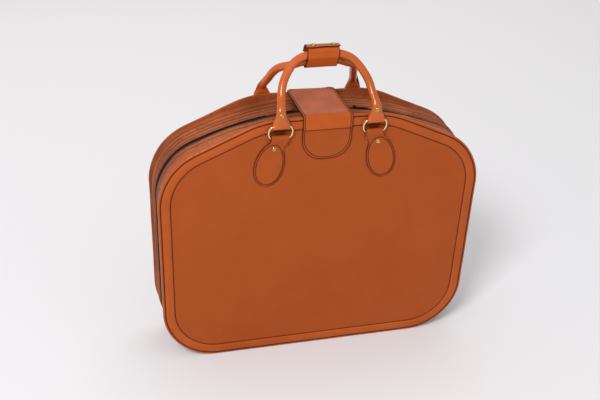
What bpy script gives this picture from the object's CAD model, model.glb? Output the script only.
import math

import bpy
import numpy as np
from mathutils import Matrix, Vector


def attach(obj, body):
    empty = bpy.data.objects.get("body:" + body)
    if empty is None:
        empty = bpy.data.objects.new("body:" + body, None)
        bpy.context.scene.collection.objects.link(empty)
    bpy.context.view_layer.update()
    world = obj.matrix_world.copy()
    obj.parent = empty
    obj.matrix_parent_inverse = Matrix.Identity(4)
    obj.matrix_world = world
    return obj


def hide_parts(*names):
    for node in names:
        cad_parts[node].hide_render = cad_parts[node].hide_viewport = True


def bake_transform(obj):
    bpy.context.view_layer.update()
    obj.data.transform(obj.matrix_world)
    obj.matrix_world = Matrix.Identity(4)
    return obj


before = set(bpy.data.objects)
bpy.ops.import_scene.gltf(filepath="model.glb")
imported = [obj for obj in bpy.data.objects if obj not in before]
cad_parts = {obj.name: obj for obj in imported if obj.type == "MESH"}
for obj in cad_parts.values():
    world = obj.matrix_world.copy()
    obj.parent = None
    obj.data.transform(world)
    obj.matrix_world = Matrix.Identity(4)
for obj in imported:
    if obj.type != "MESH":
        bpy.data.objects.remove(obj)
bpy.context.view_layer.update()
mm = 0.001
bpy.ops.object.select_all(action="DESELECT")
shells = ((1, "front", "front_shell"), (-1, "back", "back_shell"))  # side, name and body
hands = ((-1, "left"), (1, "right"))

# shape of the case in mm
case = {
    "width": 560, "height": 450, "bottomR": 98, "shoulderR": 105, "crestR": 150, "flatHalf": 75,
    "shoulderDrop": 145, "sideTaper": 4, "domeSag": 4, "panelFace": 55.5, "zipLine": 5, "step": 4.2,
}


def beltAngle(a, b):  # direction of the common tangent's normal between two circles
    dx, dy = b[0] - a[0], b[1] - a[1]
    angle = math.degrees(math.atan2(dy, dx) - math.acos((a[2] - b[2]) / math.hypot(dx, dy)))
    return (angle + 180) % 360 - 180


def arcPoints(cx, cy, r, a0, a1, step):
    n = max(2, int(math.radians(abs(a1 - a0)) * r / step))
    a = np.radians(np.linspace(a0, a1, n + 1))
    return np.c_[cx + r * np.cos(a), cy + r * np.sin(a)], np.c_[np.cos(a), np.sin(a)]


def linePoints(p, q, normal, step):
    p, q = np.array(p), np.array(q)
    n = max(2, int(np.linalg.norm(q - p) / step))
    t = np.linspace(0, 1, n + 1)[:, None]
    return p + (q - p) * t, np.repeat([normal], n + 1, 0)


def unit(a):
    return np.array([math.cos(math.radians(a)), math.sin(math.radians(a))])


def runAlong(points):
    return np.r_[0, np.cumsum(np.linalg.norm(np.diff(points, axis=0), axis=1))]


def seamEdge(step):
    # right half of the seam edge from the middle of the bottom to the middle of the top, then mirrored
    c = case
    bottom = (c["width"] / 2 - c["sideTaper"] - c["bottomR"], c["bottomR"], c["bottomR"])
    shoulder = (c["width"] / 2 - c["shoulderR"], c["height"] - c["shoulderDrop"], c["shoulderR"])
    crest = (c["flatHalf"], c["height"] - c["crestR"], c["crestR"])
    angles = [-90, beltAngle(bottom, shoulder), beltAngle(shoulder, crest), 90]

    def on(circle, a):
        return np.array(circle[:2]) + circle[2] * unit(a)
    parts, last = [], (0, 0)
    for circle, a, b in zip((bottom, shoulder, crest), angles, angles[1:]):
        parts += [linePoints(last, on(circle, a), unit(a), step), arcPoints(*circle, a, b, step)]
        last = on(circle, b)
    parts.append(linePoints(last, (0, c["height"]), unit(90), step))
    whole = []
    for k in (0, 1):  # the places, then their outward directions
        half = np.vstack([parts[0][k]] + [part[k][1:] for part in parts[1:]])
        whole.append(np.vstack([half, half[-2:0:-1] * [-1, 1], half[:1]]))
    return *whole, runAlong(whole[0])


edgePoints, edgeNormals, edgeRun = seamEdge(case["step"])
lastIndex = len(edgePoints) - 1


def gussetDrop():
    # how far the gusset's dome lies inside the seam edge at each point
    drop = case["shoulderDrop"] - case["domeSag"]
    sx = case["width"] / 2 - case["shoulderR"]
    r = (sx ** 2 + drop ** 2 - case["shoulderR"] ** 2) / (2 * (drop - case["shoulderR"]))
    centre = np.array([0, case["height"] - case["domeSag"] - r])
    d = edgePoints - centre
    along = (d * edgeNormals).sum(1)
    s = along - np.sqrt(np.maximum(0, along ** 2 - (d ** 2).sum(1) + r ** 2))
    return np.where(edgeNormals[:, 1] > 0.9, np.maximum(0, s), 0), r, centre


edgeDrop, domeRadius, domeCentre = gussetDrop()


def wave(a, b, seed, scaleA, scaleB, count=5):
    # smooth repeatable unevenness between about -1 and 1
    rng = np.random.default_rng(seed)
    total = 0
    for _ in range(count):
        ka, kb = rng.uniform(0.5, 1.5) * 2 * math.pi / scaleA, rng.uniform(-1, 1) * 2 * math.pi / scaleB
        total = total + np.sin(ka * a + kb * b + rng.uniform(0, 6.3))
    return total / count * 1.4


def smooth(x, low, high):
    t = np.clip((x - low) / (high - low), 0, 1)
    return t * t * (3 - 2 * t)


def columnsAt(where, table, grid=None):
    # a table's columns between its rows, or at places along a run of its own
    grid = np.arange(len(table)) if grid is None else grid
    return [np.interp(where, grid, column) for column in np.transpose(table)]


def columnsBy(share, table):
    return columnsAt(share * (len(table) - 1), table)


def unitRows(vectors):
    return vectors / np.linalg.norm(vectors, axis=1)[:, None]


def alike(value, count):
    return np.repeat([value], count, 0)


def bunched(u, share=0.94):  # from -1 to 1, closer together towards both ends
    return np.sin((u - 0.5) * math.pi * share) / math.sin(math.pi * share / 2)


# modelling helpers
def active():
    return bpy.context.view_layer.objects.active


def deselect():
    bpy.ops.object.select_all(action="DESELECT")


def pick(obj):
    deselect()
    obj.select_set(True)
    bpy.context.view_layer.objects.active = obj


def editAll(obj, operator, **settings):
    # runs a mesh operator on the whole piece
    pick(obj)
    bpy.ops.object.mode_set(mode="EDIT")
    bpy.ops.mesh.select_all(action="SELECT")
    operator(**settings)
    bpy.ops.object.mode_set(mode="OBJECT")


def closeEnds(obj):
    # closes the two open ends of a tube
    pick(obj)
    bpy.ops.object.mode_set(mode="EDIT")
    bpy.ops.mesh.select_mode(type="EDGE")
    bpy.ops.mesh.select_all(action="DESELECT")
    bpy.ops.mesh.select_non_manifold()
    bpy.ops.mesh.edge_face_add()
    bpy.ops.object.mode_set(mode="OBJECT")
    editAll(obj, bpy.ops.mesh.normals_make_consistent, inside=False)


def added(name, operator, **settings):
    # a new primitive with its name
    deselect()
    operator(**settings)
    obj = active()
    obj.name = obj.data.name = name
    return obj


def gridPiece(name, columns, rows, place, closed=False):
    # a grid primitive whose points are moved to their places; place(u, v) gives mm as seen in the CAD frame
    obj = added(name, bpy.ops.mesh.primitive_grid_add, x_subdivisions=columns, y_subdivisions=rows, size=1)
    co = np.empty(len(obj.data.vertices) * 3)
    obj.data.vertices.foreach_get("co", co)
    u, v = co[0::3] + 0.5, co[1::3] + 0.5
    uvLayer = obj.data.uv_layers.active or obj.data.uv_layers.new()
    loopVerts = np.empty(len(obj.data.loops), int)
    obj.data.loops.foreach_get("vertex_index", loopVerts)
    uvLayer.data.foreach_set("uv", np.c_[u, v][loopVerts].ravel())
    obj.data.vertices.foreach_set("co", (np.column_stack(place(u, v)) * mm).ravel())
    obj.data.update()
    if closed:
        editAll(obj, bpy.ops.mesh.remove_doubles, threshold=2e-6)
        editAll(obj, bpy.ops.mesh.normals_make_consistent, inside=False)
    return obj


def apply(obj, kind, **settings):
    pick(obj)
    m = obj.modifiers.new(kind.lower(), kind)
    for k, val in settings.items():
        setattr(m, k, val)
    bpy.ops.object.modifier_apply(modifier=m.name)


def smoothFaces(obj, angle=40):
    pick(obj)
    bpy.ops.object.shade_smooth_by_angle(angle=math.radians(angle))


def faceOut(obj, toward):
    # turns an open sheet so that its faces look the given way on the whole
    total = Vector((0, 0, 0))
    for p in obj.data.polygons:
        total += p.normal * p.area
    if total.dot(Vector(toward)) < 0:
        editAll(obj, bpy.ops.mesh.flip_normals)


def joinAll(name, objs):
    deselect()
    for o in objs:
        o.select_set(True)
    bpy.context.view_layer.objects.active = objs[0]
    if len(objs) > 1:
        bpy.ops.object.join()
    obj = active()
    obj.name = obj.data.name = name
    return obj


def around(index, inward, drop, side, forward):
    # points at a place along the seam edge (in steps), moved inward, and forward of the middle plane
    x, h = columnsAt(index, edgePoints)
    nx, nh = columnsAt(index, edgeNormals)
    length = np.hypot(nx, nh)
    move = inward + drop * np.interp(index, np.arange(len(edgeDrop)), edgeDrop)
    return x - nx / length * move, -side * forward + 0 * x, h - nh / length * move


def wobbled(wobble, index, inward, forward):
    # a section's place after its unevenness is added
    dIn, dFor = wobble(np.interp(index, np.arange(len(edgeRun)), edgeRun), forward, inward)
    return inward + dIn, forward + dFor


def sweepRound(name, profile, side, wobble=None, first=0.0, last=None, share=1):
    # carries a closed section round the seam edge; its rows are inward, forward and share of the dome's drop
    full = last is None
    last = lastIndex if full else last
    ends = np.array([(*row, share)[:3] for row in [*profile, profile[0]]], float)

    def place(u, v):
        i = first + u * (last - first)
        inward, forward, share = columnsAt(v * len(profile), ends)
        if wobble is not None:
            inward, forward = wobbled(wobble, i, inward, forward)
        return around(i, inward, share, side, forward)
    obj = gridPiece(name, int(round(last - first)), len(profile), place, closed=True)
    if not full:
        closeEnds(obj)
    smoothFaces(obj)
    return obj


def rowRound(inward, forward, side, first=0, last=lastIndex, drop=0.0, wobble=None, outward=False):
    # a line round the seam edge with its directions, forward or outward
    i = np.linspace(first, last, int((last - first) * 3) + 1)
    if wobble:
        inward, forward = wobbled(wobble, i, inward, forward)
    points = np.column_stack(around(i, inward, drop, side, forward))
    if outward:
        return points, np.column_stack(around(i, inward - 1, drop, side, forward)) - points
    return points, alike((0, -side, 0), len(i))


def rowFrames(points, normals, pitch, reach=0.6):
    # evenly spaced places along a row, with the directions out of the surface, along and across
    run = runAlong(points)
    n = max(2, int(run[-1] / pitch))
    at = (np.arange(n) + 0.5) * run[-1] / n

    def sample(values, where):
        return np.column_stack(columnsAt(where, values, run))
    up = unitRows(sample(normals, at))
    ahead = sample(points, at + reach) - sample(points, at - reach)
    ahead = unitRows(ahead - (ahead * up).sum(1)[:, None] * up)
    return sample(points, at), up, ahead, np.cross(up, ahead)


def stitchRow(name, points, normals, pitch, length, radius):
    # one thread stitch is modelled once and copied along the row
    where, up, ahead, across = rowFrames(points, normals, pitch)
    obj = added(name, bpy.ops.mesh.primitive_uv_sphere_add, segments=6, ring_count=4, radius=1)
    seed = np.array([x.co[:] for x in obj.data.vertices])
    apply(obj, "ARRAY", count=len(where), use_relative_offset=False, use_constant_offset=True,
          constant_offset_displace=(0.01, 0, 0))
    every = where[:, None]
    for k, size, way in ((2, length / 2, ahead), (0, radius * 1.15, across), (1, radius, up)):
        every = every + seed[None, :, k:k + 1] * size * way[:, None]
    obj.data.vertices.foreach_set("co", (every * mm).ravel())
    obj.data.update()
    smoothFaces(obj, 80)
    return obj


def needleLine(name, points, normals, width, lift=0.1):
    # the dark line that the needle and the creasing iron leave under a row of stitches
    where, up, _, across = rowFrames(points, normals, 1.6)
    where = where + up * lift

    def place(u, v):
        return [m + w * (u - 0.5) * width for m, w in zip(columnsBy(v, where), columnsBy(v, across))]
    return gridPiece(name, 1, len(where) - 1, place)


def sewn(name, body, rows, pitch=3.2, length=2.4, radius=0.4, width=1.3, lift=0.1, edges=(), rimWidth=1.1):
    # rows of thread on their dark needle lines, and the dyed rims of cut edges
    threads = joinAll(name + "_stitches", [stitchRow("row", p, n, pitch, length, radius) for p, n in rows])
    lines = [needleLine("line", p, n, width, lift) for p, n in rows]
    lines += [needleLine("rim", p, n, rimWidth, lift) for p, n in edges]
    lines = joinAll(name + "_needle_lines", lines)
    dress(threads, thread, body, slot="leather_dark")
    dress(lines, lineDye, body, slot="leather_dark")
    return threads, lines


def sheetPiece(name, columns, rows, place, toward, thick, offset=-1, face=None):
    # an open sheet that looks the given way, with its thickness; thick leather has dyed, rounded edges
    obj = gridPiece(name, columns, rows, place)
    faceOut(obj, toward)
    if face:
        obj.data.materials.append(face)
        obj.data.materials.append(edgeDye)
    apply(obj, "SOLIDIFY", thickness=thick * mm, offset=offset, material_offset_rim=1)
    if face:
        apply(obj, "BEVEL", width=0.85 * mm, segments=2, limit_method="ANGLE", angle_limit=math.radians(50),
              material=1)
    smoothFaces(obj, 45 if face else 40)
    return obj


# materials
def newMaterial(name):
    m = bpy.data.materials.new(name)
    m.use_nodes = True
    return m, m.node_tree, m.node_tree.nodes["Principled BSDF"]


def feed(tree, node, feeds):
    # links outputs to a node's inputs, and sets plain values
    for key, value in feeds.items():
        if hasattr(value, "is_output"):
            tree.links.new(value, node.inputs[key])
        else:
            node.inputs[key].default_value = value


def addNode(tree, kind, feeds, **settings):
    node = tree.nodes.new("ShaderNode" + kind)
    for key, value in settings.items():
        setattr(node, key, value)
    feed(tree, node, feeds)
    return node


def coordinates(tree, stretch=(1, 1, 1)):
    place = addNode(tree, "TexCoord", {}).outputs["Object"]
    return addNode(tree, "Mapping", {"Vector": place, "Scale": stretch}).outputs["Vector"]


def ramp(tree, source, *stops):
    # colours or greys at their places
    r = addNode(tree, "ValToRGB", {"Fac": source})
    while len(r.color_ramp.elements) < len(stops):
        r.color_ramp.elements.new(0.5)
    for e, (pos, tone) in zip(r.color_ramp.elements, stops):
        e.position, e.color = pos, (*(tone if isinstance(tone, tuple) else (tone,) * 3), 1)
    return r.outputs["Color"]


def noise(tree, vector, scale, detail=3, rough=0.55):
    feeds = {"Vector": vector, "Scale": scale, "Detail": detail, "Roughness": rough}
    return addNode(tree, "TexNoise", feeds).outputs["Fac"]


def mixColour(tree, fac, a, b, blend="MIX"):
    a, b = ((*c, 1) if isinstance(c, tuple) else c for c in (a, b))
    return addNode(tree, "Mix", {0: fac, 6: a, 7: b}, data_type="RGBA", blend_type=blend).outputs[2]


def mathNode(tree, op, a, b):
    return addNode(tree, "Math", {0: a, 1: b}, operation=op).outputs[0]


def bump(tree, shader, height, strength, distance):
    b = addNode(tree, "Bump", {"Strength": strength, "Distance": distance, "Height": height})
    feed(tree, shader, {"Normal": b.outputs["Normal"]})


def linear(r, g, b):  # colours are read off as screen values
    return tuple(((c / 255 + 0.055) / 1.055) ** 2.4 if c > 10 else c / 255 / 12.92 for c in (r, g, b))


hide = {  # base, deep and light tone of each leather
    "panel": ((158, 73, 30), (154, 70, 28), (162, 76, 33)),
    "border": ((168, 76, 26), (156, 68, 22), (178, 84, 33)),
    "tab": ((159, 73, 28), (152, 68, 25), (167, 78, 31)),
    "gusset": ((172, 88, 44), (132, 60, 28), (200, 112, 66)),
    "flap": ((174, 79, 28), (162, 71, 24), (186, 88, 36)),
    "handle": ((182, 82, 27), (164, 70, 22), (196, 94, 38)),
    "edge": ((60, 27, 17), (46, 20, 13), (76, 36, 22)), "line": ((70, 32, 20), (58, 26, 16), (84, 40, 26)),
    "shine": (1, 0.7, 0.5, 1), "scuff": (118, 66, 46),
}
# scales of the patterns on a hide, in waves per metre
pattern = {"cloud": 9, "speck": 160, "scuff": 38, "pores": 950, "creases": 420, "wrinkles": 260, "polish": 55}
# leather darkened by rubbing inside each ring: places in metres, tint, and how it fades with the distance
rubbed = {
    "places": [(s * 0.08, side * 0.057, z) for s in (-1, 1) for side, z in ((-1, 0.431), (1, 0.426))],
    "tint": (0.34, 0.3, 0.3), "spread": 40, "from": 0.36, "to": 0.66,
}


def leather(name, tones, grain, rough, gloss, scuff=0.0, scuffBehind=None, inRings=False):
    m, tree, shader = newMaterial(name)
    base, deep, light = (linear(*tone) for tone in tones)
    vec = coordinates(tree)
    broad = noise(tree, vec, pattern["cloud"], 4, 0.6)
    tone = ramp(tree, broad, (0.3, deep), (0.52, base), (0.75, light))
    speck = ramp(tree, noise(tree, vec, pattern["speck"], 3, 0.6), (0.3, 1 - 0.05 * grain), (0.6, 1))
    colour = mixColour(tree, 1.0, tone, speck, "MULTIPLY")
    if scuff:
        mask = ramp(tree, noise(tree, vec, pattern["scuff"], 6, 0.7), (0.46, 0), (0.70, scuff))
        if scuffBehind:  # worn only further back than this y
            back = addNode(tree, "SeparateXYZ", {0: vec}).outputs["Y"]
            low, high = scuffBehind
            where = addNode(tree, "MapRange", {"Value": back, "From Min": low, "From Max": high})
            mask = mixColour(tree, 1.0, mask, where.outputs["Result"], "MULTIPLY")
        colour = mixColour(tree, mask, colour, linear(*hide["scuff"]))
    for place in rubbed["places"] if inRings else ():
        away = addNode(tree, "VectorMath", {0: vec, 1: place}, operation="DISTANCE").outputs["Value"]
        shade = ramp(tree, mathNode(tree, "MULTIPLY", away, rubbed["spread"]),
                     (rubbed["from"], rubbed["tint"]), (rubbed["to"], 1))
        colour = mixColour(tree, 1.0, colour, shade, "MULTIPLY")
    pores = addNode(tree, "TexVoronoi", {"Vector": vec, "Scale": pattern["pores"]}).outputs["Distance"]
    crease = noise(tree, vec, pattern["creases"], 4, 0.6)
    height = mathNode(tree, "ADD", mathNode(tree, "MULTIPLY", pores, 0.5), crease)
    if grain > 1.5:  # boarded grain: fine wrinkles across the wall
        wrinkle = noise(tree, coordinates(tree, (1, 0.6, 1)), pattern["wrinkles"], 6, 0.75)
        height = mathNode(tree, "ADD", height, mathNode(tree, "MULTIPLY", wrinkle, 2.2))
    bump(tree, shader, height, min(1.0, 0.22 * grain), 0.0006 if grain < 1.5 else 0.001)
    polish = noise(tree, vec, pattern["polish"], 4, 0.6)
    polish = ramp(tree, polish, (0.25, rough - 0.06), (0.75, rough + 0.08))
    feed(tree, shader, {"Base Color": colour, "Roughness": polish, "Specular IOR Level": gloss,
                        "Specular Tint": hide["shine"]})
    return m


def metal(name, colour, rough, patina=None):
    m, tree, shader = newMaterial(name)
    vec = coordinates(tree)
    tone = (*linear(*colour), 1)
    if patina:
        tone = ramp(tree, noise(tree, vec, 420, 5, 0.65), (0.38, linear(*patina)), (0.62, tone[:3]))
    polish = ramp(tree, noise(tree, vec, 900), (0.3, rough - 0.06), (0.7, rough + 0.1))
    feed(tree, shader, {"Base Color": tone, "Metallic": 1, "Roughness": polish})
    bump(tree, shader, noise(tree, vec, 1400), 0.06, 0.0003)
    return m


def cloth(name, colour, light, threads=900, sheen=0.25):
    m, tree, shader = newMaterial(name)
    vec = coordinates(tree)
    weave = addNode(tree, "TexWave", {"Vector": vec, "Scale": threads, "Distortion": 0.4},
                    bands_direction="DIAGONAL").outputs["Fac"]
    tone = mixColour(tree, weave, linear(*colour), linear(*light))
    cloud = ramp(tree, noise(tree, vec, 30, 4), (0.3, 0.8), (0.7, 1))
    tone = mixColour(tree, 1.0, tone, cloud, "MULTIPLY")
    feed(tree, shader, {"Base Color": tone, "Roughness": 0.85, "Sheen Weight": sheen})
    bump(tree, shader, weave, 0.25, 0.0004)
    return m


panelHide = leather("panel hide", hide["panel"], grain=0.6, rough=0.46, gloss=0.14, inRings=True)
borderHide = leather("border hide", hide["border"], grain=0.5, rough=0.17, gloss=0.3, inRings=True)
tabHide = leather("tab hide", hide["tab"], grain=0.7, rough=0.42, gloss=0.18)
gussetHide = leather("gusset hide", hide["gusset"], grain=4.5, rough=0.48, gloss=0.3, scuff=0.25)
flapHide = leather("flap hide", hide["flap"], grain=0.8, rough=0.27, gloss=0.26, scuff=0.5,
                   scuffBehind=(-0.046, -0.02))
handleHide = leather("handle hide", hide["handle"], grain=0.4, rough=0.17, gloss=0.85)
wrapHide = leather("wrap hide", hide["flap"], grain=0.7, rough=0.34, gloss=0.22)
edgeDye = leather("edge dye", hide["edge"], grain=0.6, rough=0.5, gloss=0.2)
lineDye = leather("needle line dye", hide["line"], grain=0.6, rough=0.7, gloss=0.1)
thread = cloth("dark thread", (44, 20, 12), (78, 38, 22), 2400, 0)
ringBrass = metal("ring brass", (232, 214, 160), 0.22)
studBrass = metal("stud brass", (224, 196, 110), 0.25, (104, 90, 46))
toothMetal = metal("tooth metal", (64, 54, 46), 0.42)
plated = metal("plated steel", (170, 170, 168), 0.35)
zipCloth = cloth("zip cloth", (13, 12, 24), (22, 21, 36), sheen=0)
liningCloth = cloth("lining cloth", (34, 36, 60), (52, 54, 84), 700)
boardFibre = cloth("pressed board", (150, 128, 92), (176, 152, 112), 300)
ropeFibre = cloth("rope fibre", (170, 148, 108), (200, 180, 140), 500)


def dress(obj, material, body, *nodes, slot="leather_tan"):
    # finish, body and material slot of a piece, and the CAD nodes that it stands for
    if material:
        obj.data.materials.append(material)
    if body:
        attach(obj, body)
    if nodes:
        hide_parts(*nodes)
    return obj


for nodeNames, material in (
        (("front_board", "back_board"), boardFibre), (("front_handle_core", "back_handle_core"), ropeFibre),
        (("magnet_seat", "flap_magnet"), plated), (("wrap_snap_posts",), studBrass),
        (("slider_left", "slider_right", "pull_left", "pull_right"), toothMetal)):
    for nodeName in nodeNames:
        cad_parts[nodeName].data.materials.clear()
        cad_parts[nodeName].data.materials.append(material)
print("stage: materials ready")

# camera, floor and light
view = {"place": (-0.4570, -1.4768, 1.1117), "azimuth": 16.33, "elevation": 28.75, "roll": 2.7, "lens": 60.2}


def putInScene(name, data, matrix):
    obj = bpy.data.objects.new(name, data)
    bpy.context.collection.objects.link(obj)
    obj.matrix_world = matrix
    return obj


def addCamera():
    az, el, roll = (math.radians(view[k]) for k in ("azimuth", "elevation", "roll"))
    ahead = Vector((math.sin(az) * math.cos(el), math.cos(az) * math.cos(el), -math.sin(el)))
    level = Vector((math.cos(az), -math.sin(az), 0))
    up = level.cross(ahead)
    right = level * math.cos(roll) + up * math.sin(roll)
    top = -level * math.sin(roll) + up * math.cos(roll)
    data = bpy.data.cameras.new("camera")
    data.lens, data.sensor_width = view["lens"], 36
    turn = Matrix((right, top, -ahead)).transposed().to_4x4()
    bpy.context.scene.camera = putInScene("camera", data, Matrix.Translation(view["place"]) @ turn)


light = {  # place, height aimed at, size and power of each lamp; strength of the sky
    "window": ((-2.0, -2.5, 3.2), 0.2, 1.2, 130), "fill": ((1.8, -2.0, 1.5), 0.2, 2.0, 4),
    "rim": ((0.5, 1.1, 3.0), 0.3, 1.5, 10), "sky": 0.63,
}


def addLamp(name):
    place, aim, size, power = light[name]
    data = bpy.data.lights.new(name, "AREA")
    data.shape, data.size, data.energy = "SQUARE", size, power
    turn = (Vector((0, 0, aim)) - Vector(place)).to_track_quat("-Z", "Y").to_matrix().to_4x4()
    putInScene(name, data, Matrix.Translation(place) @ turn)


addCamera()
for lamp in ("window", "fill", "rim"):
    addLamp(lamp)
world = bpy.context.scene.world or bpy.data.worlds.new("studio")
bpy.context.scene.world = world
world.use_nodes = True
feed(world.node_tree, world.node_tree.nodes["Background"], {"Color": (1, 1, 1, 1), "Strength": light["sky"]})
bpy.context.scene.view_settings.view_transform = "Standard"

# paper floor, a little lighter towards the back: tones with their y in metres
paper = {"size": 14, "near": (0, (225, 224, 226)), "far": (1.8, (241, 239, 240)), "rough": 0.9, "gloss": 0.1}
floor = added("studio_floor", bpy.ops.mesh.primitive_plane_add, size=paper["size"], location=(0, 0, 0))
floorPaint, floorTree, floorShader = newMaterial("studio paper")
floorY = addNode(floorTree, "SeparateXYZ", {0: coordinates(floorTree, (0.5, 0.5, 0.5))}).outputs["Y"]
floorTone = ramp(floorTree, floorY, *((y * 0.5, linear(*tone)) for y, tone in (paper["near"], paper["far"])))
feed(floorTree, floorShader, {"Base Color": floorTone, "Roughness": paper["rough"],
                              "Specular IOR Level": paper["gloss"]})
floor.data.materials.append(floorPaint)
print("stage: camera and light ready")

# border strips and panels
border = {
    "outerRow": (4.2, 56.1), "innerRow": (20.3, 55.65),  # inward and forward of the stitches
    "sewing": {"pitch": 3.9, "length": 3.0, "radius": 0.55, "width": 2.0, "lift": 0.2},
    "profile": [(20.2, 54.2), (20.0, 55.6), (19.4, 56.3), (17.6, 56.95), (14.5, 57.3), (11, 57.25), (8, 56.9),
                (5.9, 56.3), (4.8, 55.9), (4.2, 55.75), (3.6, 56.0), (2.5, 56.35), (1.2, 56.15), (0.3, 55.5),
                (0.0, 54.7), (0.05, 53.15), (0.6, 53.0), (12, 53.0), (12, 54.2)],
}


def borderWobble(seed):
    def wobble(run, forward, inward):
        top = smooth(forward, 55, 56.4)
        swell = 0.22 * wave(run, 0, seed, 90, 1e9) * (inward < 18)
        return swell, 0.16 * wave(run, inward, seed + 1, 130, 60) * top
    return wobble


for side, name, body in shells:
    strip = sweepRound(name + "_border_strip", border["profile"], side, borderWobble(5 + side), share=0)
    dress(strip, borderHide, body, name + "_border")


def halfWidthAt(height, inset):
    # half width of the seam outline, drawn in by an inset, at a height
    half = len(edgePoints) // 2
    inner = edgePoints[:half + 1] - edgeNormals[:half + 1] * inset
    keep = inner[:, 0] > 0.01
    return np.interp(height, inner[keep, 1], inner[keep, 0])


panel = {
    "inset": 12.5, "columns": 150, "rows": 120, "thick": 1.9, "seam": (6.5, 9.5), "sunk": 0.35, "puff": 0.75,
    "dent": {"x": 96, "height": 160, "radius": 60, "depth": 0.5},  # only in the front
}


def panelPlace(side):
    inset, dent = panel["inset"], panel["dent"]
    top = case["height"] - inset

    def place(u, v):
        h = inset + (0.5 - 0.5 * np.cos(np.pi * np.clip(v, 0, 1))) * (top - inset)
        half = halfWidthAt(np.clip(h, inset + 0.001, top - 0.001), inset)
        x = bunched(u) * half
        reach = np.minimum(half - np.abs(x), np.minimum(h - inset, top - h))
        seam = panel["sunk"] * (smooth(reach, *panel["seam"]) - 1)
        puff = panel["puff"] * smooth(reach, 8, 60)
        puff += 0.45 * wave(x, h, 21 + side, 420, 380) * smooth(reach, 12, 70)
        if side > 0:
            away = np.hypot(x - dent["x"], h - dent["height"]) / dent["radius"]
            puff -= dent["depth"] * np.exp(-away ** 2)
        return x, -side * (case["panelFace"] + seam + puff), h
    return place


for side, name, body in shells:
    size = panel["columns"], panel["rows"]
    sheet = sheetPiece(name + "_panel_sheet", *size, panelPlace(side), (0, -side, 0), panel["thick"])
    dress(sheet, panelHide, body, name + "_panel")
for side, name, body in shells:
    outer = rowRound(*border["outerRow"], side, wobble=borderWobble(5 + side))
    rows = [outer, rowRound(*border["innerRow"], side)]
    sewn(name + "_border", body, rows, **border["sewing"])
print("stage: panels and borders ready")

# gussets
gusset = {"inset": 4.0, "frontEdge": 9.0, "backEdge": -1.0, "fold": 0.55, "rowInset": 3.9,
          "rows": (12.4, 22.5)}
slotStart = np.interp(172.0, edgeRun, np.arange(len(edgeRun)))  # the zip begins this far along the seam edge
slotEnd = lastIndex - slotStart


def zipRow(inward, forward, wobble=None):
    return rowRound(inward, forward, 1, slotStart, slotEnd, 1, wobble, outward=True)


def gussetProfile(edge):
    g = gusset["inset"]
    flange = [(0.5, 53.0, 0), (0.35, 52.2, 0), (0.35, 51.2, 0), (0.8, 50.5, 0), (g - 1.2, 50.2, 1)]
    wall = [(g, forward, 1) for forward in np.linspace(48.6, edge + 3.2, 13)]
    hem = [(g - 0.1, edge + 1.6, 1), (g + 0.3, edge + 0.4, 1), (g + 1.2, edge, 1), (g + 2.3, edge + 0.4, 1),
           (g + 2.5, edge + 2, 1)]
    return flange + wall + hem + [(g + 2.5, forward, 1) for forward in (30, 51, 53.0)]


def gussetWobble(seed, edge):
    def wobble(run, forward, inward):
        free = smooth(forward, 51, 44)
        sag = smooth(forward, 44, edge + 4)
        creases = wave(run, forward * 3, seed, 34, 60, 7) * 0.5 + wave(run, forward, seed + 2, 120, 70) * 0.7
        creases = gusset["fold"] * creases * free * (0.5 + 0.5 * sag)
        return creases, 0.35 * wave(run, 0, seed + 5, 150, 1e9) * sag
    return wobble


for side, name, body in shells:
    edge = gusset[name + "Edge"]
    folds = gussetWobble(31 + side, edge)
    wall = sweepRound(name + "_gusset_wall", gussetProfile(edge), side, folds)
    dress(wall, gussetHide, body, name + "_gusset")
    if side > 0:  # behind the zip the placket covers the wall
        rows = [zipRow(gusset["rowInset"], forward, folds) for forward in gusset["rows"]]
        sewn(name + "_hem", body, rows, length=2.3, radius=0.36, width=1.2)

# placket behind the zip
placket = {
    "rowInset": 2.55, "rows": (-2.6, -13.6, -23.6, -36.5),
    "profile": [(4.05, 0.9), (3.1, 0.75), (2.75, -0.3), (2.75, -5), (2.85, -12), (2.6, -15.5), (1.5, -17.2),
                (1.15, -18.4), (1.6, -19.6), (2.7, -21.5), (2.85, -26), (2.75, -33), (2.8, -38.6),
                (3.1, -39.7), (4.05, -40), (4.2, -38), (4.2, -20), (4.2, -3)],
}


def placketWobble(run, forward, inward):
    return 0.3 * wave(run, forward * 2, 77, 40, 60, 6), 0.3 * wave(run, 0, 78, 160, 1e9)


strip = sweepRound("zip_placket_strip", placket["profile"], 1, placketWobble, slotStart, slotEnd)
dress(strip, gussetHide, "back_shell", "zip_placket")
rows = [zipRow(placket["rowInset"], forward, placketWobble) for forward in placket["rows"]]
sewn("placket", "back_shell", rows, length=2.3, radius=0.38, width=1.2)

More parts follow.
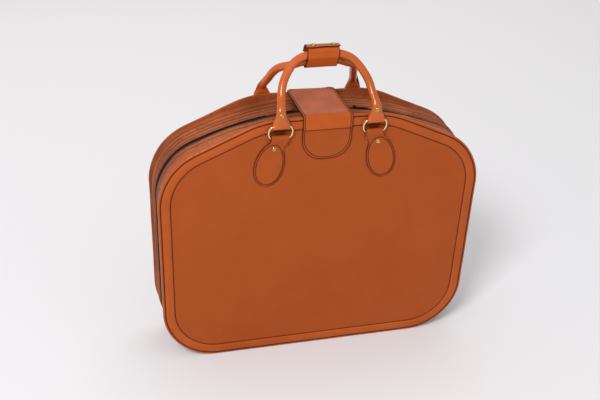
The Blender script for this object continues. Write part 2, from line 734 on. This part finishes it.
# zip
zipper = {
    "web": (1.4, 3, 7, 12, 16), "outer": 6.55, "inner": 7.25, "toothInset": 6.9, "toothAway": 1.25,
    "tooth": {"pitch": 2.4, "length": 1.5, "radius": 0.85},
    "lipFrom": 21, "lip": [(3.2, 1.05), (3.2, 1.3), (6.6, 1.35), (6.6, 1.05)],
}
for sign, name, body in shells:
    web = [case["zipLine"] + sign * away for away in zipper["web"]]
    profile = [(zipper["outer"], forward) for forward in web]
    profile += [(zipper["inner"], forward) for forward in web[::-1]]
    tape = sweepRound(name + "_tape_web", profile, 1, None, slotStart, slotEnd)
    if sign < 0:  # on the left the back tape stands up along the placket's edge
        lip = sweepRound("lip", zipper["lip"], 1, None, lastIndex / 2 + zipper["lipFrom"], slotEnd)
        tape = joinAll(tape.name, [tape, lip])
    dress(tape, zipCloth, body, name + "_zip_tape", slot="lining_cloth")
    row = zipRow(zipper["toothInset"], case["zipLine"] + sign * zipper["toothAway"])
    teeth = stitchRow(name + "_tooth_row", *row, **zipper["tooth"])
    dress(teeth, toothMetal, body, name + "_zip_teeth", slot="zip_teeth")
print("stage: gussets and zip ready")

# hinge strip
hinge = {"half": 178, "low": 4.2, "high": 6.9, "rear": -9.5, "reach": 29.5, "thick": 0.8}


def hingePlace(u, v):
    x = (u - 0.5) * 2 * hinge["half"]
    forward = hinge["rear"] + v * hinge["reach"]
    slot = smooth(forward, 0.2, 2.2) * (1 - smooth(forward, 7.8, 9.8))
    h = hinge["high"] - (hinge["high"] - hinge["low"]) * slot + 0.15 * wave(x, forward, 91, 60, 30)
    return x, -forward, h


strip = sheetPiece("hinge_leather", 90, 24, hingePlace, (0, 0, -1), hinge["thick"], 0)
dress(strip, edgeDye, None, "hinge_strip", slot="leather_dark")
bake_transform(strip)

# linings
lining = {"floor": 49.3, "inset": 7.9, "topGap": 12.5, "thick": 0.6, "frontEdge": 15, "backEdge": 5,
          "domeGap": 8, "domeFrom": 380}


def liningPlace(side):
    low, high = lining["inset"], case["height"] - lining["topGap"]

    def place(u, v):
        h = low + (0.5 - 0.5 * np.cos(np.pi * v)) * (high - low)
        half = halfWidthAt(np.clip(h, 12, 443), lining["inset"])
        dome = np.sqrt(np.maximum(0, (domeRadius - lining["domeGap"]) ** 2 - (h - domeCentre[1]) ** 2))
        half = np.where(h > lining["domeFrom"], np.minimum(half, dome), half)
        x = bunched(u) * half
        puff = 0.5 * wave(x + 0.4 * h, h, 61 + side, 120, 260) + 0.35 * wave(x, h, 64, 50, 90, 7)
        return x, -side * (lining["floor"] + puff), h
    return place


def liningWobble(run, forward, inward):
    return 0.25 * wave(run, forward, 66, 45, 70, 6), 0


for side, name, body in shells:
    edge = lining[name + "Edge"]
    tray = sheetPiece(name + "_lining_floor", 90, 80, liningPlace(side), (0, side, 0), lining["thick"])
    profile = [(7.65, edge), (7.55, edge + 6), (7.6, 36), (7.6, 49.6), (8.25, 49.6), (8.3, 36),
               (8.25, edge + 6), (8.3, edge)]
    wall = sweepRound(name + "_lining_wall", profile, side, liningWobble)
    tray = joinAll(name + "_lining_tray", [tray, wall])
    smoothFaces(tray)
    dress(tray, liningCloth, body, name + "_lining", slot="lining_cloth")
print("stage: inside ready")

# rings, tabs and rivets
ring = {"span": 160, "height": 420, "forward": 59.9, "rise": 21, "lean": 3.8, "bar": 16, "bulge": 4,
        "wire": 1.6, "backDrop": 5}


def ringPath():
    r = ((ring["rise"] / 2) ** 2 + ring["bulge"] ** 2) / (2 * ring["bulge"])
    a = math.degrees(math.asin(ring["rise"] / 2 / r))
    t = np.radians(np.linspace(-a, a, 40))
    right = np.c_[ring["bar"] + ring["bulge"] - r + r * np.cos(t), ring["rise"] / 2 + r * np.sin(t)]
    top = np.c_[np.linspace(ring["bar"], -ring["bar"], 60)[1:-1], np.full(58, ring["rise"])]
    bottom = np.c_[np.linspace(-ring["bar"], ring["bar"], 60)[1:-1], np.zeros(58)]
    loop = np.vstack([right, top, (right * [-1, 1])[::-1], bottom])
    for _ in range(10):  # softens the corners
        loop = (np.roll(loop, 1, 0) + 2 * loop + np.roll(loop, -1, 0)) / 4
    return loop


def ringPiece(name, side, x0, drop):
    loop = ringPath()
    tangent = unitRows(np.roll(loop, -1, 0) - np.roll(loop, 1, 0))
    ends = np.vstack([np.c_[loop, tangent], np.r_[loop[0], tangent[0]]])
    lean = math.asin(ring["lean"] / ring["rise"])

    def place(u, v):
        px, pz, tx, tz = columnsBy(u, ends)
        a = v * 2 * math.pi
        x = px + tz * np.cos(a) * ring["wire"]
        up = pz - tx * np.cos(a) * ring["wire"]
        out = np.sin(a) * ring["wire"]
        forward = ring["forward"] + up * math.sin(lean) + out * math.cos(lean)
        h = ring["height"] - drop + up * math.cos(lean) - out * math.sin(lean)
        return x0 + x, -side * forward, h
    obj = gridPiece(name + "_wire", 120, 14, place, closed=True)
    smoothFaces(obj, 80)
    dress(obj, ringBrass, name, name, slot="brass")


def lathe(name, centre, axis, profile, segments=32):
    # turns a (radius, height) profile about an axis through a point
    axis = np.array(axis, float) / np.linalg.norm(axis)
    side1 = np.cross(axis, [1, 0, 0.3])
    side1 /= np.linalg.norm(side1)
    side2 = np.cross(axis, side1)

    def place(u, v):
        r, z = columnsBy(v, profile)
        a = u * 2 * math.pi
        return np.array(centre)[:, None] + axis[:, None] * z + side1[:, None] * r * np.cos(a) \
            + side2[:, None] * r * np.sin(a)
    obj = gridPiece(name, segments, len(profile) - 1, place, closed=True)
    smoothFaces(obj, 35)
    return obj


capProfile = [(0, 1.95), (1.0, 1.93), (2.0, 1.8), (2.9, 1.52), (3.5, 1.15), (3.75, 0.95), (3.95, 1.0),
              (4.3, 0.85), (4.5, 0.5), (4.5, 0.05), (4.3, -0.1), (0, -0.1)]
rivetProfile = [(0, 1.25), (0.6, 1.2), (0.95, 1.0), (1.3, 1.35), (2.2, 1.5), (3.1, 1.25), (3.7, 0.85),
                (4.0, 0.4), (4.0, 0.05), (3.8, -0.1), (0, -0.1)]
tab = {
    "thick": 2.2, "half": 14.5, "ovalHalf": 25.5, "ovalLong": 40, "splay": 12.6, "topX": 7, "topDrop": 9,
    "rowInset": 3.5, "rimInset": 0.7, "rivetX": 9, "rivetDrop": 21, "bend": 3.05,
}


def ovalOutline(s, inset, a):
    w, l = tab["ovalHalf"] - inset, tab["ovalLong"] - inset
    x = w * np.sin(a) * (1 - 0.1 * np.cos(a))
    d = l * (np.cos(a) - 1) - inset
    t = math.radians(tab["splay"]) * s
    return x * math.cos(t) - d * math.sin(t) + s * (ring["span"] / 2 + tab["topX"]), \
        x * math.sin(t) + d * math.cos(t) + ring["height"] - tab["topDrop"]


def tabRise(d):
    # how far forward the middle of the strap lies at a distance below the oval's top
    face, mid, bar = case["panelFace"], tab["thick"] / 2, ring["forward"]
    return np.interp(d, [-1.5, 2.9, 6.6, 10.2, 12.5],
                     [bar + 1.5, bar - 0.5, face + 2.4, face + mid + 1, face + mid + 0.4])


def tabRows(s):
    # x, height, forward, tilt and half width along a strap: up behind the bar, over it, down into the oval
    face, mid, half = case["panelFace"], tab["thick"] / 2, tab["half"]
    bx, bh, bf = s * ring["span"] / 2, ring["height"], ring["forward"]
    rows = [(bx, bh - 17, face + mid, 0, half - 0.7), (bx, bh - 12, face + mid, 0, half - 0.3),
            (bx, bh - 6, face + 1.3, 0, half)]
    for a in np.radians((180, 157, 135, 112, 90, 67, 45, 22, 0)):
        rows.append((bx, bh + tab["bend"] * math.sin(a), bf + tab["bend"] * math.cos(a), 0, half))
    rows += [(bx + s * 0.8, bh - 3.5, bf + 2.75, 0, half),
             (bx + s * 2.2, bh - 7.5, bf + 1.5, 2.5, half - 0.1),
             (bx + s * 4.4, bh - 11.8, bf - 0.5, 6, half - 0.2),
             (bx + s * 6.8, bh - 15.4, face + 2.4, 9.5, half + 0.1)]
    splay = math.radians(tab["splay"])
    start = math.acos(1 - 10.2 / tab["ovalLong"])
    for a in np.linspace(start, math.pi, 26):
        d = tab["ovalLong"] * (1 - math.cos(a))
        wide = tab["ovalHalf"] * math.sin(a) * (1 - 0.1 * math.cos(a))
        rows.append((s * (ring["span"] / 2 + tab["topX"] + d * math.sin(splay)),
                     bh - tab["topDrop"] - d * math.cos(splay), face + mid + (1.0 if a == start else 0.15),
                     tab["splay"], max(wide, 0.4)))
    return rows


def tabPiece(name, side, s, drop):
    rows = tabRows(s)
    last = len(rows) - 1

    def place(u, v):
        k = v * last
        cx, ch, cf, tilt, half = columnsAt(k, rows)
        across = np.sin((u - 0.5) * math.pi) * half
        t = np.radians(tilt)
        rim = smooth(half - np.abs(across), 2.6, 4.4) * smooth(k, 14, 17)
        cf = cf + 0.55 * rim * smooth(last - k, 0.0, 5.0) + 0.1 * wave(across, ch, 43, 40, 50)
        return cx + across * np.cos(t), -side * cf, ch + s * across * np.sin(t) - drop
    return sheetPiece(name + "_strap", 22, last * 2, place, (0, -side, 0), tab["thick"], 0, tabHide)


for side, name, body in shells:
    drop = 0 if side > 0 else ring["backDrop"]
    rivets, rows, rims = [], [], []
    for s, hand in hands:
        ringPiece(name + "_ring_" + hand, side, s * ring["span"] / 2, drop)
        strap = tabPiece(name + "_tab_" + hand, side, s, drop)
        dress(strap, None, body, name + "_tab_" + hand)
        at = (s * (ring["span"] / 2 + tab["rivetX"]), -side * (case["panelFace"] + 2.85),
              ring["height"] - tab["rivetDrop"] - drop)
        rivets.append(lathe("rivet", at, (0, -side, 0), rivetProfile))
        a = np.linspace(0, 2 * math.pi, 160)
        inset = tab["rowInset"]
        x, h = ovalOutline(s, inset, a)
        rise = tabRise(inset + (tab["ovalLong"] - inset) * (1 - np.cos(a))) + tab["thick"] / 2 + 0.3
        rows.append((np.c_[x, -side * rise, h - drop], alike((0, -side, 0), 160)))
        a = np.radians(np.linspace(37, 323, 150))  # the rim is open where the strap goes up
        x, h = ovalOutline(s, tab["rimInset"], a)
        face = alike(-side * (case["panelFace"] + 2.4), 150)
        rims.append((np.c_[x, face, h - drop], alike((0, -side, 0), 150)))
    dress(joinAll(name + "_tab_rivet_caps", rivets), studBrass, body, name + "_tab_rivets", slot="brass")
    sewn(name + "_tab", body, rows, 3.1, radius=0.42, lift=0.15, edges=rims)
print("stage: rings and tabs ready")

# handles
handle = {
    "radius": 6.8, "barY": -63.7, "barZ": 440.65, "neckRise": 26, "neckShift": 2, "loopHalf": 14.5,
    "studOut": 3.6, "studRise": 20, "flareFrom": 2.0, "lean": {"front": 0.0, "back": -2.2},
    # y and z of the crowns, the back one before it is turned and lowered
    "crown": {"front": (-12, 543), "back": (4.99, 533.17)},
    # stations from the neck to the crown, as shares of the way across, back and up
    "front": [(1, 0, 0), (0.96, 0.307, 0.2), (0.904, 0.554, 0.437), (0.774, 0.775, 0.666),
              (0.586, 0.925, 0.866), (0.318, 0.987, 0.971), (0, 1, 1)],
    "back": [(1, 0, 0), (0.936, 0.248, 0.286), (0.874, 0.457, 0.534), (0.781, 0.648, 0.72),
             (0.606, 0.834, 0.836), (0.35, 0.955, 0.965), (0, 1, 1)],
}
neckY, neckZ = handle["barY"] + handle["neckShift"], handle["barZ"] + handle["neckRise"]
flare = {  # squareness at distances from the bar; half widths and half thicknesses of the two rolls
    "at": (2.0, 5, 8, 11, 14, 18, 24, 32, 42, 400),
    "square": (4.0, 3.6, 3.2, 2.9, 2.6, 2.4, 2.1, 2.0, 2.0, 2.0),
    "front": ((14.3, 14.2, 13.3, 11.9, 10.5, 9.1, 7.9, 7.1, 6.8, 6.8),
              (3.9, 4.1, 4.3, 4.5, 4.8, 5.2, 5.8, 6.4, 6.8, 6.8)),
    "back": ((14.4, 14.5, 14.6, 14.3, 13.2, 11.0, 8.8, 7.5, 7.0, 6.8),
             (3.9, 4.2, 4.5, 4.9, 5.2, 5.6, 6.0, 6.5, 6.9, 6.8)),
}


def throughPoints(points, steps):
    # smooth curve through points; the first and the last one only give directions
    p = np.array(points, float)
    out = []
    for i in range(1, len(p) - 2):
        a, b, c, d = p[i - 1:i + 3]
        for k in np.linspace(0, 1, steps + 1)[:-1]:
            out.append(0.5 * (2 * b + (c - a) * k + (2 * a - 5 * b + 4 * c - d) * k ** 2
                              + (3 * b - a - 3 * c + d) * k ** 3))
    return np.array(out + [p[-2]])


def handleLine(which):
    # middle line from the ring bar to the crown, with its sideways and outward directions
    crownY, crownZ = handle["crown"][which]
    half = ring["span"] / 2
    points = [(half, handle["barY"] + back, handle["barZ"] + rise)
              for back, rise in ((0, 0), (0.2, 9), (0.8, 18))]
    points += [(across * half, neckY + back * (crownY - neckY), neckZ + rise * (crownZ - neckZ))
               for across, back, rise in handle[which]]
    p = np.array(points, float)
    curve = throughPoints(np.vstack([p[0] * 2 - p[1], p, p[-2] * [-1, 1, 1]]), 8)
    run = runAlong(curve)
    even = np.linspace(0, run[-1], 110)
    line = np.column_stack(columnsAt(even, curve, run))
    for _ in range(6):  # eases the last small bends between the stations
        line[1:-1] = (line[:-2] + 2 * line[1:-1] + line[2:]) / 4
    tangent = unitRows(np.gradient(line, axis=0))
    tangent[-1] = (-1, 0, 0)
    sides = [np.array([1.0, 0, 0])]
    for along in tangent[1:]:
        s = sides[-1] - along * sides[-1].dot(along)
        sides.append(s / np.linalg.norm(s))
    sides = np.array(sides)
    return line, even, sides, np.cross(tangent, sides)


def leanAt(lean, w, mirror):
    # sideways lean of a roll from its ring (0) to the crown (1); the left foot leans most
    return lean * (np.sin(math.pi * w) + 0.9 * (mirror < 0) * np.exp(-((w - 0.1) / 0.14) ** 2))


def rollPlace(name, facing, drop, line, lineRun, sides, outs):
    # section of the roll and its flared ends, from the right ring over the crown to the left one
    start, ends = handle["flareFrom"], (*flare[name], flare["square"])

    def place(u, v):
        w = np.where(v <= 0.5, 2 * v, 2 * (1 - v))
        mirror = np.where(v <= 0.5, 1.0, -1.0)
        run = start + w * (lineRun[-1] - start)
        wide, thick, square = (np.interp(run, flare["at"], row) for row in ends)
        a = u * 2 * math.pi
        c, s = np.cos(a), np.sin(a)
        reach = (np.abs(c) ** square + np.abs(s) ** square) ** (-1 / square)
        reach = reach * (1 + 0.012 * wave(run, 30 * a, 13, 40, 60) - 0.02 * np.exp(-((c + 1) / 0.02) ** 2))
        tables = (columnsAt(run, table, lineRun) for table in (line, sides, outs))
        x, y, z = (p + (q * c * wide + o * s * thick) * reach for p, q, o in zip(*tables))
        return mirror * x + leanAt(handle["lean"][name], w, mirror), facing * y, z - drop
    return place


def loopPlace(s, facing, drop):
    # strap loop round the ring's upper bar
    half = handle["loopHalf"]
    right = [(half - 0.8, 4.25), (half - 0.1, 3.7), (half, 2.9), (half - 0.2, 2.1), (half - 0.8, 1.9)]
    left = [(-along, r) for along, r in right[::-1]]
    profile = [left[-1], (0, 4.3), *right, (0, 1.9), *left]

    def place(u, v):
        along, r = columnsBy(v, profile)
        a = u * 2 * math.pi
        return (s * ring["span"] / 2 + along, facing * (handle["barY"] + r * np.cos(a)),
                handle["barZ"] + r * np.sin(a) - drop)
    return place


for facing, name, _ in shells:
    body = name + "_handle"
    drop = 0 if facing > 0 else ring["backDrop"]
    line, lineRun, sides, outs = handleLine(name)
    roll = gridPiece("roll", 28, 300, rollPlace(name, facing, drop, line, lineRun, sides, outs), closed=True)
    closeEnds(roll)
    loops = [gridPiece("loop", 36, 12, loopPlace(s, facing, drop), closed=True) for s, hand in hands]
    roll = joinAll(body + "_leather", [roll, *loops])
    smoothFaces(roll, 50)
    dress(roll, handleHide, body, body, body + "_end_left", body + "_end_right")
    studY, studZ = handle["barY"] - handle["studOut"], handle["barZ"] + handle["studRise"] - drop
    studs = [lathe("stud", (s * ring["span"] / 2, facing * studY, studZ), (0, -facing, 0.02), capProfile)
             for s, hand in hands]
    dress(joinAll(body + "_stud_caps", studs), studBrass, body, body + "_studs", slot="brass")
    # sewn seam on the inside of the roll
    k = np.arange(16, len(line), 3)
    inner = line[k] - sides[k] * (handle["radius"] - 0.1)
    seam = np.vstack([inner, inner[::-1] * [-1, 1, 1]]) * [1, facing, 1] - [0, 0, drop]
    w = (lineRun[k] - handle["flareFrom"]) / (lineRun[-1] - handle["flareFrom"])
    seam[:, 0] += leanAt(handle["lean"][name], np.r_[w, w[::-1]], np.repeat([1, -1], len(w)))
    out = np.vstack([-sides[k], -sides[k][::-1] * [-1, 1, 1]]) * [1, facing, 1]
    sewn(body, body, [(seam, out)], 3.4, radius=0.36, width=1.2)
print("stage: handles ready")

# grip wrap
wrap = {
    "half": 26.5, "thick": 2.0, "tabHalf": 28.5, "tabThick": 1.9, "tabGap": 0.3, "tabRear": 19,
    "snapY": -11.65, "snapHalf": 16.5, "shift": -2.3, "splitLow": -5.0, "cut": 0.15, "middle": (-9.0, 537.0),
    "rimIn": 0.6,
    # the hollow is a belt round these circles (y, z, radius): bottom, top back, top front, front
    "circles": [(-3.59, 527.07, 9.08), (-8.7, 549.1, 3.5), (-16.6, 549.1, 3.5), (-12.8, 540.6, 7.3)],
}
wrapTop = wrap["circles"][1][1] + wrap["circles"][1][2]
wrapFrontY = wrap["circles"][2][0] - wrap["circles"][2][2]


def wrapLoop(grow):
    # the belt round the circles, drawn outward, with the distance at which the top back corner ends
    c = wrap["circles"]
    angles = [beltAngle(c[i], c[(i + 1) % 4]) for i in range(4)]
    start, arcs = angles[3], []
    for (y, z, r), end in zip(c, angles):
        while end < start:
            end += 360
        arcs.append(arcPoints(y, z, r + grow, start, end, 0.8)[0])
        start = end
    loop = np.vstack(arcs + [arcs[0][:1]])
    run = runAlong(loop)
    return loop, run, run[len(arcs[0]) + len(arcs[1]) - 1]


def along(loop, run, first, last, count):
    return np.column_stack(columnsAt(np.linspace(first, last, count) % run[-1], loop, run))


def wrapPlace(path, seed):
    def place(u, v):
        y, z = columnsBy(v, path)
        x = (u - 0.5) * 2 * wrap["half"]
        squeeze = 0.3 * np.cos(x / wrap["half"] * math.pi * 0.5) - 0.1 + 0.12 * wave(x, y + z, seed, 30, 30)
        cy, cz = y - wrap["middle"][0], z - wrap["middle"][1]
        squeeze = squeeze / np.hypot(cy, cz)
        x = x + wrap["shift"] + 0.35 * wave(z + y, 0, seed + 3, 30, 1e9)
        return x, y - cy * squeeze, z - cz * squeeze
    return place


loop, loopRun, highRun = wrapLoop(wrap["thick"] / 2)
lowRun = np.interp(wrap["splitLow"], loop[:8, 0], loopRun[:8])
for name, first, last, body, look in (("wrap_sleeve", lowRun, highRun, "back_handle", 1),
                                      ("wrap_front", highRun, loopRun[-1] + lowRun, "wrap_front", -1)):
    path = along(loop, loopRun, first + wrap["cut"], last - wrap["cut"], 60)
    sheet = sheetPiece(name + "_leather", 40, 59, wrapPlace(path, 50 + look), (0, look, 0), wrap["thick"],
                       0, wrapHide)
    dress(sheet, None, body, name)
    away = unitRows(path - wrap["middle"])
    face = path + away * (wrap["thick"] / 2 + 0.15)
    rims = [needleLine("rim", np.c_[alike(s * (wrap["half"] - wrap["rimIn"]) + wrap["shift"], 60), face],
                       np.c_[np.zeros(60), away], 1.1) for s in (-1, 1)]
    dress(joinAll(name + "_rims", rims), edgeDye, body, slot="leather_dark")

# the tab is sewn to the rear wall, goes round the top back corner and ends in a waved edge
loop, loopRun, highRun = wrapLoop(wrap["thick"] * 1.5 + wrap["tabGap"])
corner = loop[np.searchsorted(loopRun, highRun - 1e-6)]
tabPath = np.vstack([along(loop, loopRun, highRun - wrap["tabRear"], highRun, 24),
                     linePoints(corner, (wrapFrontY, loop[:, 1].max()), (0, 1), 1.0)[0][1:]])
tabRun = runAlong(tabPath)


def wrapTabPlace(u, v):
    x = (u - 0.5) * 2 * wrap["tabHalf"]
    run = v * tabRun[-1]
    y, z = columnsAt(run, tabPath, tabRun)
    share = smooth(run, tabRun[-1] - 9, tabRun[-1])
    dip = np.exp(-((x + 17) / 9) ** 2) + 0.55 * np.exp(-((x - 15) / 8) ** 2)
    y = y - share * (0.9 * dip - 0.3)
    z = z - share * (1.0 * dip - 0.25) + 0.18 * wave(x, y, 57, 28, 40) * share
    return x + wrap["shift"], y, z


lid = sheetPiece("wrap_tab_leather", 44, 44, wrapTabPlace, (0, 0, 1), wrap["tabThick"], 0, wrapHide)
dress(lid, None, None, "wrap_tab")
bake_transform(lid)
snapZ = wrapTop + 2 * wrap["thick"] + wrap["tabGap"]
studs = [lathe("snap", (s * wrap["snapHalf"] + wrap["shift"] / 2, wrap["snapY"], snapZ), (0, 0, 1),
               capProfile) for s in (-1, 1)]
dress(joinAll("wrap_stud_caps", studs), studBrass, "wrap_tab", "wrap_studs", slot="brass")
print("stage: wrap ready")

# closing flap
flap = {
    "half": 42, "thick": 2.5, "tongueR": 34, "rearR": 10, "creaseH": 429.4, "tongueTo": 0.16,
    "rearFrom": 0.96, "rowInset": 3.4, "rimInset": 0.6,
    # middle of the sheet as (forward, height) from the tongue's end over the border and along the top
    "path": [(56.9, 375), (56.9, 385), (56.9, 400), (56.95, 415), (57.1, 422), (57.6, 427), (58.5, 431),
             (58.85, 436), (58.8, 442), (58.5, 447), (57.5, 450.3), (55.4, 452.2), (52, 452.9), (44, 452.4),
             (30, 451.6), (12, 451.1), (-6, 451.0), (-25, 451.2), (-42, 451.7), (-52, 452.1), (-57, 452.2)],
}
p = np.array(flap["path"], float)
flapLine = throughPoints(np.vstack([p[0] * 2 - p[1], p, p[-1] * 2 - p[-2]]), 11)
flapRun = runAlong(flapLine)


def flapHalf(run, inset=0.0):
    r, e = flap["tongueR"], flap["rearR"]
    fromTongue = np.clip(r - (run - inset), 0, r)
    fromRear = np.clip(e - (flapRun[-1] - run - inset), 0, e)
    return (flap["half"] - inset - (r - np.sqrt(np.maximum(0, r ** 2 - fromTongue ** 2)))
            - (e - np.sqrt(np.maximum(0, e ** 2 - fromRear ** 2))))


def flapAt(run, x):
    f, h = columnsAt(run, flapLine, flapRun)
    top = smooth(run, 85, 100)
    edge = np.abs(x) / flap["half"]
    lift = top * (0.5 * wave(x, run, 81, 70, 90) - 0.6 * (1 - edge ** 2) + 0.7 * edge ** 4)
    return f + (1 - top) ** 2 * 0.25 * wave(x, run, 83, 60, 70), h + lift


def flapPlace(u, v):
    # rows are closer together in the round of the tongue and in the rear corners
    r, e, whole = flap["tongueR"], flap["rearR"], flapRun[-1]
    a, b = flap["tongueTo"], flap["rearFrom"]
    s = np.where(v < a, r * (1 - np.cos(v / a * math.pi / 2)), r + (v - a) / (b - a) * (whole - r - e))
    s = np.where(v > b, whole - e + e * np.sin((v - b) / (1 - b) * math.pi / 2), s)
    x = bunched(u, 0.96) * flapHalf(s)
    f, h = flapAt(s, x)
    return x, -f, h


cover = sheetPiece("closing_flap_leather", 44, 150, flapPlace, (0, -1, 1), flap["thick"], 0, flapHide)
cover.data.materials.append(panelHide)
for face in cover.data.polygons:  # the tongue is cut from the panel's hide
    if face.material_index == 0 and face.center.z < flap["creaseH"] * mm:
        face.material_index = 2
dress(cover, None, None, "flap_tongue", "closure_flap")


def flapRow(run, x):
    # places on the outer face of the flap, with the direction out of it
    f, h = flapAt(run, x)
    f2, h2 = flapAt(run + 0.5, x)
    length = np.hypot(f2 - f, h2 - h)
    outF, outH = (h2 - h) / length, -(f2 - f) / length
    reach = flap["thick"] / 2 + 0.05
    return np.c_[x, -(f + outF * reach), h + outH * reach], np.c_[0 * x, -outF, outH]


def flapEdgeRow(inset):
    run = np.linspace(inset, flapRun[-1] - inset, 420)
    half = flapHalf(run, inset)
    return flapRow(np.r_[run[::-1], run[1:]], np.r_[-half[::-1], half[1:]])


creaseRun = np.interp(flap["creaseH"], flapLine[:60, 1], flapRun[:60])
creaseX = np.linspace(-flap["half"] + 1, flap["half"] - 1, 60)
flapSewing = sewn("closing_flap", None, [flapEdgeRow(flap["rowInset"])], 3.1, radius=0.42,
                  edges=[flapEdgeRow(flap["rimInset"])])
creaseLine = needleLine("flap_crease_line", *flapRow(np.full(60, creaseRun), creaseX), 1.2)
dress(creaseLine, lineDye, None, slot="leather_dark")
for piece in (cover, creaseLine, *flapSewing):
    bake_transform(piece)
print("stage: flap ready")
